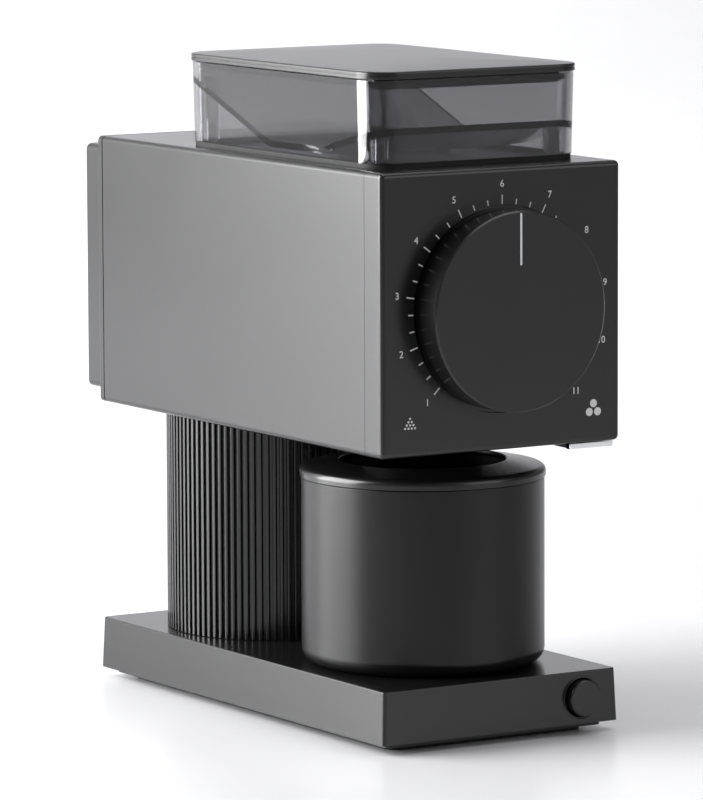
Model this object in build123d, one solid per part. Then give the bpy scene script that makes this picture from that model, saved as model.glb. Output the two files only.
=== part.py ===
from build123d import *
import math
import os

# Electric flat burr coffee grinder. All sizes in millimetres.
# X is across the grinder, +Y points to the back, +Z up. The origin is on the table under
# the middle of the base.

# ---------------------------------------------------------------- driving sizes
housing_length = 212.0        # front face to the back of the rear cover
column_height = 87.1
base_cover_height = 20.1
base_clearance = 4.0          # table to the underside of the base cover
base_draft = 0.75             # each side leans in by this much over the cover's height
base_side_step = 0.5          # base half width is this much less than the housing's
base_set_back = 0.35          # base front is this far behind the housing front
base_end_step = 0.65          # each end of the base runs this far past the housing's length

housing_wall = 2.6
side_room = 6.4               # burr chamber to the housing's side walls
top_room = 6.4                # burr chamber to the housing's floor and ceiling
housing_edge_radius = 2.0
front_face_thickness = 3.0
front_cover_depth = 11.7
rear_cover_thickness = 3.4
seam_gap = 0.6
vent_cap_depth = 17.0
vent_cap_side_inset = 3.9
vent_cap_corner_radius = 2.5
vent_cap_edge_radius = 1.5
vent_cap_end_inset = 4.2
vent_cap_wall = 2.2
vent_slot_width = 2.4
vent_slot_count = 13

base_wall = 2.5
base_top_thickness = 3.0
base_edge_radius = 1.6
base_plate_inset = 4.3
base_plate_thickness = 2.9
foot_height = 2.1
foot_inset = 8.9
foot_width = 10.0

column_radius = 45.2
column_wall = 3.7             # to the crest of the ribs
rib_count = 100
groove_depth = 1.5
groove_width = 1.45
column_from_back = 51.4       # column axis to the back of the rear cover
rod_circle_radius = 34.0
rod_radius = 2.2

cup_radius = 46.45
cup_wall = 1.5
cup_floor = 4.0
cup_corner_radius = 6.0
cup_from_front = 55.5         # cup axis to the housing front
cup_lid_overhang = 0.55
cup_lid_height = 6.6          # cup rim to the top of the lid
cup_lid_slope = 10.0          # degrees
cup_lid_shoulder_radius = 2.6
cup_lid_wall = 1.5
cup_lid_mouth_step = 14.5     # lid's mouth radius is this much less than the cup's
chute_ring_radius = 24.5
chute_ring_height = 4.6
lid_to_ring_gap = 4.4
chute_half_width = 16.0
chute_from_front = 44.0
chute_depth = 22.0
chute_wall = 2.5

knocker_left = 31.7
knocker_from_side = 3.6       # lever's right edge to the side of the housing
knocker_tab_height = 2.0
knocker_tab_thickness = 2.8
knocker_pivot_from_front = 62.0
knocker_pivot_height = 8.3    # above the housing's underside
knocker_pin_radius = 1.5

hopper_half_width = 46.3      # at the foot of its walls
hopper_from_front = 14.8
hopper_length = 140.5
hopper_height = 30.8
hopper_wall = 2.4
hopper_corner_radius = 11.5
hopper_flare = 0.7            # each wall leans out by this much
gasket_thickness = 1.8
post_radius = 3.3
funnel_wall = 2.0
funnel_back_height = 26.6     # above the throat
funnel_front_height = 12.0
funnel_side_height = 2.6
throat_half_width = 14.5
throat_from_front = 65.0
throat_length = 20.0
lid_overhang = 0.5
lid_edge_thickness = 3.0
lid_crown = 1.2
lid_skirt_depth = 4.0

dial_radius = 37.6
dial_depth = 13.0
dial_wall = 2.8
dial_recess_gap = 1.4         # round the dial, in the front face
dial_recess_depth = 1.6
hub_radius = 27.5
pointer_length = 19.6
pointer_from_edge = 0.7
pointer_width = 1.0
pointer_depth = 0.8
detent_count = 40             # nine degrees a click

burr_radius = 32.0
burr_hole_radius = 19.0
burr_thickness = 8.0
burr_gap = 0.7
burr_teeth = 24
chamber_wall = 12.0           # burr edge to the outside of the burr chamber
chamber_depth = 64.0          # housing front to the back of the chamber wall

shaft_radius = 5.0
rear_shaft_radius = 4.0
armature_radius = 31.5
motor_radius = 40.0
magnet_thickness = 4.9
fan_radius = 36.0
fan_depth = 11.0

button_radius = 7.0
button_proud = 3.2
button_travel = 2.0
button_from_side = 16.2       # button axis to the base's right side
button_height = 14.0
gland_bore_radius = 3.6
gland_offset = -30.0

running_gap = 0.3             # between pieces that move past each other
pin_fit = 0.06                # radial clearance of a pin or shaft in its bore
screw_fit = 0.15
seat_gap = 0.4

# ---------------------------------------------------------------- derived places
chamber_radius = burr_radius + chamber_wall
housing_width = 2 * (chamber_radius + side_room + housing_wall)
housing_height = 2 * (chamber_radius + top_room + housing_wall)
base_width = housing_width - 2 * base_side_step
base_length = housing_length + 2 * base_end_step
base_front = -base_length / 2
base_back = base_length / 2
base_top = base_clearance + base_cover_height
front = base_front - base_set_back
back = front + housing_length
housing_bottom = base_top + column_height
housing_top = housing_bottom + housing_height
axis_z = housing_bottom + housing_height / 2
half_width = housing_width / 2
inner_half = half_width - housing_wall
floor_z = housing_bottom + housing_wall
ceiling_z = housing_top - housing_wall
cup_y = front + cup_from_front
column_y = back - column_from_back
sleeve_front = front + front_cover_depth
sleeve_back = back - rear_cover_thickness - seam_gap

hopper_bottom = housing_top + gasket_thickness
hopper_top = hopper_bottom + hopper_height
hopper_y = front + hopper_from_front + hopper_length / 2
throat_front = front + throat_from_front
throat_back = throat_front + throat_length
throat_z = hopper_bottom + 1.5
lid_bottom = hopper_top + seat_gap

chamber_front = front + 3.6
ring_back = front + 18.0
carrier_back = front + 38.0
outer_burr_back = carrier_back + burr_thickness
inner_burr_front = outer_burr_back + burr_gap
inner_burr_back = inner_burr_front + burr_thickness
chamber_back = front + chamber_depth
grinding_bore = burr_radius + 6.5
sleeve_bore = burr_radius + 2.3
duct_back = throat_back + 3.0
mount_back = duct_back + 6.0
fan_back = sleeve_back - 22.0
fan_front = fan_back - fan_depth
bell_back = fan_front - 3.0
bell_front = bell_back - 8.0
armature_front = mount_back + 12.0
armature_back = bell_front - 16.0
button_x = base_width / 2 - button_from_side
screw_corner_x = inner_half - 5.0
ring_floor = housing_bottom - chute_ring_height
cup_bottom = base_top + 0.05
cup_top = ring_floor - lid_to_ring_gap - cup_lid_height
chute_front = front + chute_from_front
chute_back = chute_front + chute_depth
knocker_right = half_width - knocker_from_side
pivot_y = front + knocker_pivot_from_front
pivot_z = housing_bottom + knocker_pivot_height
arm_bottom = pivot_z - 2.5
arm_top = pivot_z + 2.2


# ---------------------------------------------------------------- plain shapes
def block(x0, x1, y0, y1, z0, z1):
    return Pos((x0 + x1) / 2, (y0 + y1) / 2, (z0 + z1) / 2) * Box(x1 - x0, y1 - y0, z1 - z0)


def rod_x(radius, x0, x1, y, z):
    return Pos((x0 + x1) / 2, y, z) * Rot(0, 90, 0) * Cylinder(radius, x1 - x0)


def rod_y(radius, y0, y1, x=0.0, z=axis_z):
    return Pos(x, (y0 + y1) / 2, z) * Rot(90, 0, 0) * Cylinder(radius, y1 - y0)


def rod_z(radius, z0, z1, x, y):
    return Pos(x, y, (z0 + z1) / 2) * Cylinder(radius, z1 - z0)


def tube_y(outer, inner, y0, y1, x=0.0, z=axis_z):
    return rod_y(outer, y0, y1, x, z) - rod_y(inner, y0 - 1, y1 + 1, x, z)


def tube_z(outer, inner, z0, z1, x, y):
    return rod_z(outer, z0, z1, x, y) - rod_z(inner, z0 - 1, z1 + 1, x, y)


def rounded_slab(half_x, length, radius, y_centre, z0, height, flare=0.0):
    outline = RectangleRounded(2 * half_x, length, radius)
    lean = -math.degrees(math.atan2(flare, height))
    return Pos(0, y_centre, z0) * extrude(outline, amount=height, taper=lean)


def around_axis(piece, count, start=0.0):
    """Copies of a piece turned about the burr axis."""
    to_axis = Pos(0, 0, axis_z)
    from_axis = Pos(0, 0, -axis_z)
    turned = [to_axis * Rot(0, start + n * 360 / count, 0) * from_axis * piece for n in range(count)]
    return turned


def corners(x, z_low, z_high):
    return [(-x, z_low), (x, z_low), (-x, z_high), (x, z_high)]


def rear_screw_places():
    low = floor_z + 5.0
    high = ceiling_z - 5.0
    return corners(screw_corner_x, low, high)


def hopper_post_places():
    x = hopper_half_width - 8.3
    near = front + hopper_from_front + 10.2
    far = front + hopper_from_front + hopper_length - 9.3
    return [(-x, near), (x, near), (-x, far), (x, far)]


def rod_places():
    angles = [math.radians(a) for a in (90, 210, 330)]
    return [(rod_circle_radius * math.cos(a), column_y + rod_circle_radius * math.sin(a)) for a in angles]


def base_screw_places():
    x = base_width / 2 - 8.0
    y = base_length / 2 - 26.0
    return [(-x, -y), (x, -y), (-x, y), (x, y)]


def magnet_places():
    angles = [math.radians(a) for a in (90, 210, 330)]
    return [(25 * math.cos(a), cup_y + 25 * math.sin(a)) for a in angles]


# ---------------------------------------------------------------- base
def base_cover():
    outline = Rectangle(base_width, base_length)
    lean = math.degrees(math.atan2(base_draft, base_cover_height))
    shell = extrude(outline, amount=base_cover_height, taper=lean)
    shell = Pos(0, 0, base_clearance) * shell
    uprights = [e for e in shell.edges() if abs(e.tangent_at(0.5).Z) > 0.9]
    shell = fillet(uprights, base_edge_radius)
    shell = fillet(shell.faces().sort_by(Axis.Z)[-1].edges(), 0.5)
    side = base_width / 2 - base_draft - base_wall
    end = base_length / 2 - base_draft - base_wall
    ceiling = base_top - base_top_thickness
    shell -= block(-side, side, -end, end, base_clearance - 1, ceiling)
    for x, y in base_screw_places():
        boss = rod_z(4.0, foot_height + base_plate_thickness, ceiling + 0.5, x, y)
        shell += boss - rod_z(1.35, 0, ceiling - 2, x, y)
    for x, y in rod_places():
        shell -= rod_z(rod_radius + screw_fit, 0, base_top + 1, x, y)
    shell -= block(-12, 12, column_y - 20, column_y - 6, ceiling - 1, base_top + 1)
    shell -= rod_y(button_radius + 1.1, base_front - 1, base_front + 6, button_x, button_height)
    shell -= rod_y(6.0 + screw_fit, base_back - 6, base_back + 1, gland_offset, button_height)
    return shell


def base_plate():
    half_x = base_width / 2 - base_plate_inset
    length = base_length - 2 * base_plate_inset
    plate = rounded_slab(half_x, length, 3.0, 0, foot_height, base_plate_thickness)
    for x, y in base_screw_places():
        plate -= rod_z(1.7, 0, 10, x, y)
        plate -= rod_z(3.2, 0, foot_height + 1.6, x, y)
    for x, y in rod_places():
        plate -= rod_z(rod_radius + screw_fit, 0, 10, x, y)
        plate -= rod_z(4.4, 0, foot_height + 1.0, x, y)
    return plate


def rubber_foot():
    half_x = base_width / 2 - foot_inset
    length = base_length - 2 * foot_inset
    inner_length = length - 2 * foot_width
    ring = rounded_slab(half_x, length, 6.0, 0, 0, foot_height)
    return ring - rounded_slab(half_x - foot_width, inner_length, 3.0, 0, -1, foot_height + 2)


def base_screws():
    screws = []
    head_top = foot_height + 1.6
    for x, y in base_screw_places():
        screw = rod_z(2.9, foot_height + 0.3, head_top, x, y) + rod_z(1.25, head_top - 0.5, 15, x, y)
        screws.append(screw - block(x - 2, x + 2, y - 0.4, y + 0.4, 0, foot_height + 0.9))
    return Compound(children=screws)


def base_magnets():
    ceiling = base_top - base_top_thickness
    return Compound(children=[rod_z(5, ceiling - 3, ceiling, x, y) for x, y in magnet_places()])


def power_button():
    face = base_front - button_proud + 0.25
    shoulder = base_front + 4.0
    cap = rod_y(button_radius, face, shoulder, button_x, button_height)
    cap = fillet(cap.faces().sort_by(Axis.Y)[0].edges(), 0.5)
    stem = rod_y(2.5, shoulder - 0.5, shoulder + 4.0, button_x, button_height)
    return cap + stem


def button_bezel():
    start = base_front + 0.3
    return tube_y(button_radius + 1.05, button_radius + seat_gap, start, start + 5, button_x, button_height)


def button_spring():
    shoulder = base_front + 4.0
    return tube_y(4.0, 3.0, shoulder + 0.1, shoulder + 6.2, button_x, button_height)


def power_switch():
    nose = base_front + 4.0 + 4.0 + button_travel + running_gap
    body = block(button_x - 6, button_x + 6, nose, nose + 10, foot_height + base_plate_thickness,
                 button_height + 6)
    return body


def cord_gland():
    y1 = base_back + 2.0
    body = rod_y(6.0, base_back - 6, y1, gland_offset, button_height)
    flange = rod_y(8.0, base_back, y1, gland_offset, button_height)
    flange = fillet(flange.faces().sort_by(Axis.Y)[-1].edges(), 0.8)
    return body + flange - rod_y(gland_bore_radius, base_back - 8, y1 + 1, gland_offset, button_height)


# ---------------------------------------------------------------- column
def column_shell():
    outline = Circle(column_radius)
    groove = Rectangle(2 * groove_depth, groove_width)
    outline -= PolarLocations(column_radius, rib_count) * groove
    outline -= Circle(column_radius - column_wall)
    return Pos(0, column_y, base_top) * extrude(outline, amount=column_height)


def column_top_plate():
    radius = column_radius - column_wall - 0.2
    top = housing_bottom
    plate = rod_z(radius, top - 4, top, 0, column_y)
    for x, y in rod_places():
        plate -= rod_z(rod_radius + screw_fit, top - 5, top + 1, x, y)
    plate -= block(-12, 12, column_y - 20, column_y - 6, top - 5, top + 1)
    for x in (-22, 22):
        plate += block(x - 5, x + 5, column_y + 0.8, column_y + 3.8, top - 16, top - 3.5)
    return plate


def tie_rods():
    rods = []
    low = foot_height + 1.0
    for x, y in rod_places():
        rod = rod_z(rod_radius, low - 0.5, floor_z + 6, x, y)
        rod += rod_z(4.2, foot_height + 0.1, low, x, y)
        nut = Pos(x, y, floor_z) * extrude(RegularPolygon(4.4, 6), amount=3.2)
        rods.append(rod + nut)
    return Compound(children=rods)


def circuit_board():
    low = base_top + 6
    high = housing_bottom - 8
    board = block(-30, 30, column_y - 0.8, column_y + 0.8, low, high)
    for x in (-26, 26):
        board -= rod_y(1.6, column_y - 2, column_y + 2, x, low + 4)
    return board


def board_components():
    face = column_y - 0.8
    mid = (base_top + housing_bottom) / 2
    parts = [
        rod_z(8, mid - 26, mid + 2, -17, face - 8.2),
        rod_z(6, mid + 8, mid + 26, -18, face - 6.2),
        block(-4, 20, face - 18, face - 0.05, mid - 26, mid - 4),
        block(2, 14, face - 10, face - 0.05, mid + 14, mid + 28),
    ]
    back_face = column_y + 0.8
    sink = block(-24, 24, back_face + 0.05, back_face + 3, mid - 22, mid + 4)
    for n in range(9):
        x = -23 + n * 5.75
        sink += block(x - 0.9, x + 0.9, back_face + 2.5, back_face + 15, mid - 22, mid + 4)
    return Compound(children=parts + [sink])


# ---------------------------------------------------------------- housing
def lever_slot(z0, z1):
    return block(knocker_left + 1.5, knocker_right - 1.5, front + 15.5, front + 38, z0, z1)


def housing_sleeve():
    y0 = sleeve_front + 0.2
    shell = block(-half_width, half_width, y0, sleeve_back, housing_bottom, housing_top)
    shell = fillet(shell.edges().filter_by(Axis.Y), housing_edge_radius)
    shell -= block(-inner_half, inner_half, y0 - 1, sleeve_back + 1, floor_z, ceiling_z)
    for x, z in rear_screw_places():
        post = block(x - 5, x + 5, sleeve_back - 18, sleeve_back, z - 5, z + 5)
        shell += post - rod_y(1.4, sleeve_back - 16, sleeve_back + 1, x, z)
    for x, y in hopper_post_places():
        shell -= rod_z(1.7, ceiling_z - 1, housing_top + 1, x, y)
    throat = throat_half_width + 2.4
    shell -= block(-throat, throat, throat_front - 2.4, throat_back + 2.4, ceiling_z - 1,
                   housing_top + 1)
    side = chute_half_width + seat_gap
    shell -= block(-side, side, chute_front - seat_gap, chute_back + seat_gap, housing_bottom - 1,
                   floor_z + 1)
    for x, y in rod_places():
        shell -= rod_z(rod_radius + screw_fit, housing_bottom - 1, floor_z + 1, x, y)
    shell -= block(-12, 12, column_y - 20, column_y - 6, housing_bottom - 1, floor_z + 1)
    shell -= lever_slot(housing_bottom - 1, floor_z + 1)
    for x0, x1 in ((knocker_left - 2.2, knocker_left + 0.8), (knocker_right - 1.6, inner_half)):
        ear = block(x0, x1, pivot_y - 4.2, pivot_y + 4.2, floor_z - 0.5, pivot_z + 4)
        shell += ear - rod_x(1.5, x0 - 1, x1 + 1, pivot_y, pivot_z)
    return shell


def front_cover():
    shell = block(-half_width, half_width, front, sleeve_front, housing_bottom, housing_top)
    shell = fillet(shell.edges().filter_by(Axis.Y), housing_edge_radius)
    shell = fillet(shell.faces().sort_by(Axis.Y)[0].edges(), housing_edge_radius - 0.1)
    shell -= block(-inner_half, inner_half, front + front_face_thickness, back, floor_z, ceiling_z)
    shell -= rod_y(hub_radius + 0.8, front - 1, front + 5)
    shell -= rod_y(dial_radius + dial_recess_gap, front - 1, front + dial_recess_depth)
    return shell


def rear_cover():
    y0 = sleeve_back + seam_gap
    plate = block(-half_width, half_width, y0, back, housing_bottom, housing_top)
    plate = fillet(plate.edges().filter_by(Axis.Y), housing_edge_radius)
    plate = fillet(plate.faces().sort_by(Axis.Y)[-1].edges(), 0.8)
    lip = inner_half - 0.2
    rim = block(-lip, lip, y0 - 5, y0 + 0.5, floor_z + 0.2, ceiling_z - 0.2)
    rim -= block(-lip + 2, lip - 2, y0 - 6, y0, floor_z + 2.2, ceiling_z - 2.2)
    for x, z in rear_screw_places():
        rim -= block(x - 5.2, x + 5.2, y0 - 7, y0 - seam_gap + 0.1, z - 5.2, z + 5.2)
    plate += rim
    plate -= rod_y(fan_radius + 2, y0 - 7, back + 1)
    for x, z in rear_screw_places():
        plate -= rod_y(1.7, y0 - 7, back + 1, x, z)
        plate -= rod_y(3.2, back - 1.8, back + 1, x, z)
    return plate


def vent_cap():
    half_x = half_width - vent_cap_side_inset
    low = housing_bottom + vent_cap_end_inset
    high = housing_top - vent_cap_end_inset
    cap_back = back + vent_cap_depth
    cap = block(-half_x, half_x, back, cap_back, low, high)
    cap = fillet(cap.edges().filter_by(Axis.Y), vent_cap_corner_radius)
    cap = fillet(cap.faces().sort_by(Axis.Y)[-1].edges(), vent_cap_edge_radius)
    wall = vent_cap_wall
    cap -= block(-half_x + wall, half_x - wall, back - 1, cap_back - wall, low + wall, high - wall)
    pitch = (high - low - 24) / (vent_slot_count - 1)
    for n in range(vent_slot_count):
        z = low + 12 + n * pitch
        for side in (-1, 1):
            x0, x1 = sorted((side * 3.0, side * (half_x - 10)))
            slot = block(x0, x1, cap_back - wall - 1, cap_back + 1, z - vent_slot_width / 2,
                         z + vent_slot_width / 2)
            cap -= slot
    for n in range(9):
        x = -32 + n * 8
        cap -= block(x - 1.2, x + 1.2, back + 3.5, cap_back - 4, low - 1, low + wall + 1)
    return cap


def housing_screws():
    screws = []
    seat = back - 1.8
    for x, z in rear_screw_places():
        screw = rod_y(2.9, seat, back - 0.2, x, z) + rod_y(1.25, sleeve_back - 14, seat + 0.5, x, z)
        screws.append(screw - block(x - 2, x + 2, back - 0.9, back, z - 0.4, z + 0.4))
    return Compound(children=screws)


# ---------------------------------------------------------------- hopper
def slope(y, z, rise, run, towards):
    """Everything above a plane that rises from the throat towards a wall."""
    angle = math.degrees(math.atan2(rise, run))
    turn = {"back": Rot(angle, 0, 0), "front": Rot(-angle, 0, 0),
            "right": Rot(0, -angle, 0), "left": Rot(0, angle, 0)}[towards]
    x = {"right": throat_half_width, "left": -throat_half_width}.get(towards, 0.0)
    return Pos(x, y, z) * turn * Pos(0, 0, 150) * Box(500, 500, 300)


def funnel_space(inside, drop):
    z = throat_z - drop
    back_run = hopper_y + hopper_length / 2 - throat_back
    front_run = throat_front - (hopper_y - hopper_length / 2)
    side_run = hopper_half_width - hopper_wall - throat_half_width
    space = inside & slope(throat_back, z, funnel_back_height, back_run, "back")
    space = space & slope(throat_front, z, funnel_front_height, front_run, "front")
    space = space & slope(hopper_y, z, funnel_side_height, side_run, "right")
    return space & slope(hopper_y, z, funnel_side_height, side_run, "left")


def hopper():
    outer = rounded_slab(hopper_half_width, hopper_length, hopper_corner_radius, hopper_y,
                         hopper_bottom, hopper_height, hopper_flare)
    inside = rounded_slab(hopper_half_width - hopper_wall, hopper_length - 2 * hopper_wall,
                          hopper_corner_radius - hopper_wall, hopper_y, hopper_bottom,
                          hopper_height, hopper_flare)
    space = funnel_space(inside, 0.0)
    body = outer - inside
    body += funnel_space(inside, funnel_wall + 0.6) - space
    for x, y in hopper_post_places():
        body += rod_z(post_radius, housing_top, hopper_top - 3, x, y) - space
    wall = throat_half_width + 2.0
    body += block(-wall, wall, throat_front - 2, throat_back + 2, ceiling_z, throat_z) - space
    body -= block(-throat_half_width, throat_half_width, throat_front, throat_back,
                  ceiling_z - 2, throat_z + 1)
    for x, y in hopper_post_places():
        body -= rod_z(1.3, housing_top - 1, hopper_bottom + 8.5, x, y)
    return body


def hopper_gasket():
    ring = rounded_slab(hopper_half_width - 0.3, hopper_length - 0.6, hopper_corner_radius,
                        hopper_y, housing_top, gasket_thickness)
    hole = rounded_slab(hopper_half_width - 4.3, hopper_length - 8.6, hopper_corner_radius - 4,
                        hopper_y, housing_top - 1, gasket_thickness + 2)
    ring -= hole
    for x, y in hopper_post_places():
        ring -= rod_z(post_radius + 0.2, housing_top - 1, hopper_bottom + 1, x, y)
    return ring


def hopper_screws():
    screws = []
    for x, y in hopper_post_places():
        head = rod_z(2.9, ceiling_z - 2, ceiling_z, x, y)
        screws.append(head + rod_z(1.25, ceiling_z - 0.5, hopper_bottom + 7, x, y))
    return Compound(children=screws)


def hopper_lid():
    half_x = hopper_half_width + hopper_flare + lid_overhang
    length = hopper_length + 2 * (hopper_flare + lid_overhang)
    radius = hopper_corner_radius + hopper_flare + lid_overhang
    height = lid_edge_thickness + lid_crown
    plate = rounded_slab(half_x, length, radius, hopper_y, lid_bottom, height)
    crown_radius = (length / 2) ** 2 / (2 * lid_crown)
    plate &= Pos(0, hopper_y, lid_bottom + height - crown_radius) * Sphere(crown_radius)
    groove = rounded_slab(half_x + 1, length + 2, radius + 1, hopper_y, lid_bottom + 1.25, 0.45)
    groove -= rounded_slab(half_x - 0.4, length - 0.8, radius - 0.4, hopper_y, lid_bottom, 5)
    plate -= groove
    plate = fillet(plate.edges().group_by(Axis.Z)[0], 0.3)
    skirt_half = hopper_half_width - hopper_wall - 2.2
    skirt_length = hopper_length - 2 * hopper_wall - 4.4
    skirt_radius = hopper_corner_radius - hopper_wall - 2.1
    skirt_z = lid_bottom - lid_skirt_depth
    depth = lid_skirt_depth + 0.5
    skirt = rounded_slab(skirt_half, skirt_length, skirt_radius, hopper_y, skirt_z, depth)
    skirt -= rounded_slab(skirt_half - 2, skirt_length - 4, skirt_radius - 2, hopper_y, skirt_z - 1,
                          depth)
    return plate + skirt


def lid_seal():
    half_x = hopper_half_width - hopper_wall - 0.1
    length = hopper_length - 2 * hopper_wall - 0.2
    radius = hopper_corner_radius - hopper_wall
    z0 = lid_bottom - 3.0
    ring = rounded_slab(half_x, length, radius, hopper_y, z0, 1.8)
    ring -= rounded_slab(half_x - 2.1, length - 4.2, radius - 2.1, hopper_y, z0 - 1, 4)
    return ring


# ---------------------------------------------------------------- dial and burr setting
def dial_knob():
    face = front - dial_depth
    rim = front + dial_recess_depth - 2 * running_gap
    knob = rod_y(dial_radius, face, rim)
    knob = chamfer(knob.faces().sort_by(Axis.Y)[0].edges(), 0.6)
    knob -= rod_y(dial_radius - dial_wall, face + 5, rim + 1)
    knob += tube_y(hub_radius, hub_radius - 3.5, face + 4.5, front + 4.0)
    knob += rod_y(6.5, face + 4.5, front - 1)
    tip = axis_z + dial_radius
    slot = block(-pointer_width / 2, pointer_width / 2, face - 1, face + pointer_depth,
                 tip - pointer_length - pointer_from_edge, tip - pointer_from_edge)
    return knob - slot


def dial_pointer():
    face = front - dial_depth
    tip = axis_z + dial_radius - pointer_from_edge
    side = pointer_width / 2 - 0.02
    return block(-side, side, face + 0.02, face + pointer_depth, tip - pointer_length + 0.02, tip - 0.02)


def adjusting_ring():
    y0 = front + 4.0
    outer = sleeve_bore + 5.7
    ring = tube_y(outer, sleeve_bore, y0, ring_back)
    ring += tube_y(outer, hub_radius - 3.5, y0, y0 + 3)
    notch = Pos(0, (y0 + ring_back) / 2, axis_z + outer) * Rot(0, 45, 0) * Box(1.4, 20, 1.4)
    for cut in around_axis(notch, detent_count):
        ring -= cut
    return ring


def detent_axis(piece):
    """Turn a piece that stands over the axis down to the lower left."""
    return Pos(0, 0, axis_z) * Rot(0, 225, 0) * Pos(0, 0, -axis_z) * piece


def detent_plunger():
    low = axis_z + sleeve_bore + 5.7 + 0.25
    pin = rod_z(1.6, low, low + 7, 0, front + 11)
    pin = fillet(pin.faces().sort_by(Axis.Z)[0].edges(), 1.0)
    return detent_axis(pin)


def detent_spring():
    low = axis_z + sleeve_bore + 5.7 + 7.3
    return detent_axis(tube_z(1.5, 0.9, low, low + 4.0, 0, front + 11))


def outer_burr_carrier():
    sleeve_outer = sleeve_bore - running_gap
    body = rod_y(sleeve_outer, front + 8.5, carrier_back)
    body -= rod_y(sleeve_outer - 4, front + 7, carrier_back - 4)
    lug = block(-3, 3, front + 24, front + 33, axis_z + sleeve_outer - 1, axis_z + sleeve_outer + 3)
    for piece in around_axis(lug, 3):
        body += piece
    for hole in around_axis(rod_y(1.7, carrier_back - 6, carrier_back + 1, 0, axis_z + 25.5), 3, 60):
        body -= hole
    return body


def burr_ring(y0, y1, toothed_end):
    ring = tube_y(burr_radius, burr_hole_radius, y0, y1)
    tooth_y = y1 if toothed_end == "back" else y0
    cut = Pos(0, tooth_y, axis_z) * Rot(0, 14, 0) * Pos(6, 0, 27) * Rot(0, 0, 45) * Box(2.2, 2.2, 22)
    for groove in around_axis(cut, burr_teeth):
        ring -= groove
    for hole in around_axis(rod_y(1.7, y0 - 1, y1 + 1, 0, axis_z + 25.5), 3, 60):
        ring -= hole
    sink = rod_y(3.4, tooth_y - 3, tooth_y + 3, 0, axis_z + 25.5)
    for hole in around_axis(sink, 3, 60):
        ring -= hole
    return ring


def outer_burr():
    return burr_ring(carrier_back, outer_burr_back, "back")


def outer_burr_screws():
    seat = outer_burr_back - 3
    screw = rod_y(3.0, seat, seat + 2, 0, axis_z + 25.5)
    screw += rod_y(1.55, carrier_back - 3.5, seat + 0.5, 0, axis_z + 25.5)
    return Compound(children=around_axis(screw, 3, 60))


def inner_burr():
    return burr_ring(inner_burr_front, inner_burr_back, "front")


def inner_burr_screws():
    seat = inner_burr_front + 3
    screw = rod_y(3.0, seat - 2, seat, 0, axis_z + 25.5)
    screw += rod_y(1.55, seat - 0.5, inner_burr_back + 3.5, 0, axis_z + 25.5)
    return Compound(children=around_axis(screw, 3, 60))


def inner_burr_carrier():
    y0 = inner_burr_back
    y1 = y0 + 4.0
    body = tube_y(burr_radius + 1.5, burr_hole_radius, y0, y1)
    hub = tube_y(8.5, shaft_radius + 0.02, y0 - 2, y1)
    spoke = block(-2.5, 2.5, y0, y1, axis_z + 7.5, axis_z + burr_hole_radius + 1)
    body += hub
    for piece in around_axis(spoke, 3):
        body += piece
    sweeper = block(-2.5, 2.5, y0 - 3, y1, axis_z + burr_radius + 0.6, axis_z + grinding_bore - 1)
    for piece in around_axis(sweeper, 3):
        body += piece
    for hole in around_axis(rod_y(1.7, y0 - 1, y1 + 1, 0, axis_z + 25.5), 3, 60):
        body -= hole
    return body


def burr_chamber():
    body = rod_y(chamber_radius, chamber_front, chamber_back)
    side = chute_half_width
    outlet = block(-side, side, chute_front, chamber_back, housing_bottom + 6, axis_z - 30)
    tube = rod_y(burr_hole_radius + 4, chamber_back - 1, duct_back)
    wall = throat_half_width + 5.5
    duct = block(-wall, wall, chamber_back - 2, duct_back, axis_z, ceiling_z)
    body += outlet + tube + duct
    boss = rod_z(4.5, axis_z + chamber_radius - 1, axis_z + chamber_radius + 9, 0, front + 11)
    body += detent_axis(boss)
    body -= rod_y(sleeve_bore + 6.3, chamber_front - 1, ring_back + 0.6)
    body -= rod_y(sleeve_bore + 0.2, ring_back, carrier_back + 1)
    slot = block(-3.3, 3.3, ring_back, carrier_back + 1, axis_z + sleeve_bore - 2,
                 axis_z + sleeve_bore + 3.3)
    for cut in around_axis(slot, 3):
        body -= cut
    body -= rod_y(grinding_bore, carrier_back + 0.5, chamber_back - 3.5)
    body -= rod_y(burr_hole_radius + 0.5, chamber_back - 5, duct_back + 1)
    body -= block(-side + 3, side - 3, chute_front + chute_wall, chamber_back - 3.5, housing_bottom,
                  axis_z - 20)
    body -= block(-wall + 3, wall - 3, throat_front, throat_back, axis_z, ceiling_z + 1)
    body -= detent_axis(rod_z(1.75, axis_z + 30, axis_z + chamber_radius + 7.5, 0, front + 11))
    return body


def auger():
    y0 = inner_burr_back + 4.2
    y1 = throat_back - 1
    core = tube_y(8.0, shaft_radius + 0.02, y0, y1)
    length = y1 - y0 - 3
    path = Helix(pitch=14, height=length, radius=7.5)
    start = path @ 0
    flight_face = Plane(origin=start, x_dir=(1, 0, 0), z_dir=path % 0)
    flight = sweep(flight_face * Pos(5.0, 0) * Rectangle(10.5, 2.2), path=path, is_frenet=True)
    flight = Pos(0, y0 + 1.5, axis_z) * Rot(-90, 0, 0) * flight
    return core + (flight - rod_y(7.5, y0, y1))


# ---------------------------------------------------------------- drive
def drive_shaft():
    shaft = rod_y(shaft_radius, inner_burr_back - 2, mount_back + 5)
    shaft += rod_y(6.0, mount_back + 4.8, bell_front + 1 - running_gap)
    shaft += rod_y(rear_shaft_radius, bell_front, fan_back)
    return shaft


def shaft_bolt():
    y1 = inner_burr_back - 2
    washer = rod_y(8.0, y1 - 1.2, y1)
    head = Pos(0, y1 - 1.0, axis_z) * Rot(90, 0, 0) * extrude(RegularPolygon(5.6, 6), amount=4)
    return washer + head


def front_bearing():
    return tube_y(15.0, shaft_radius + pin_fit, duct_back + 1.0, duct_back + 10.0)


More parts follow.
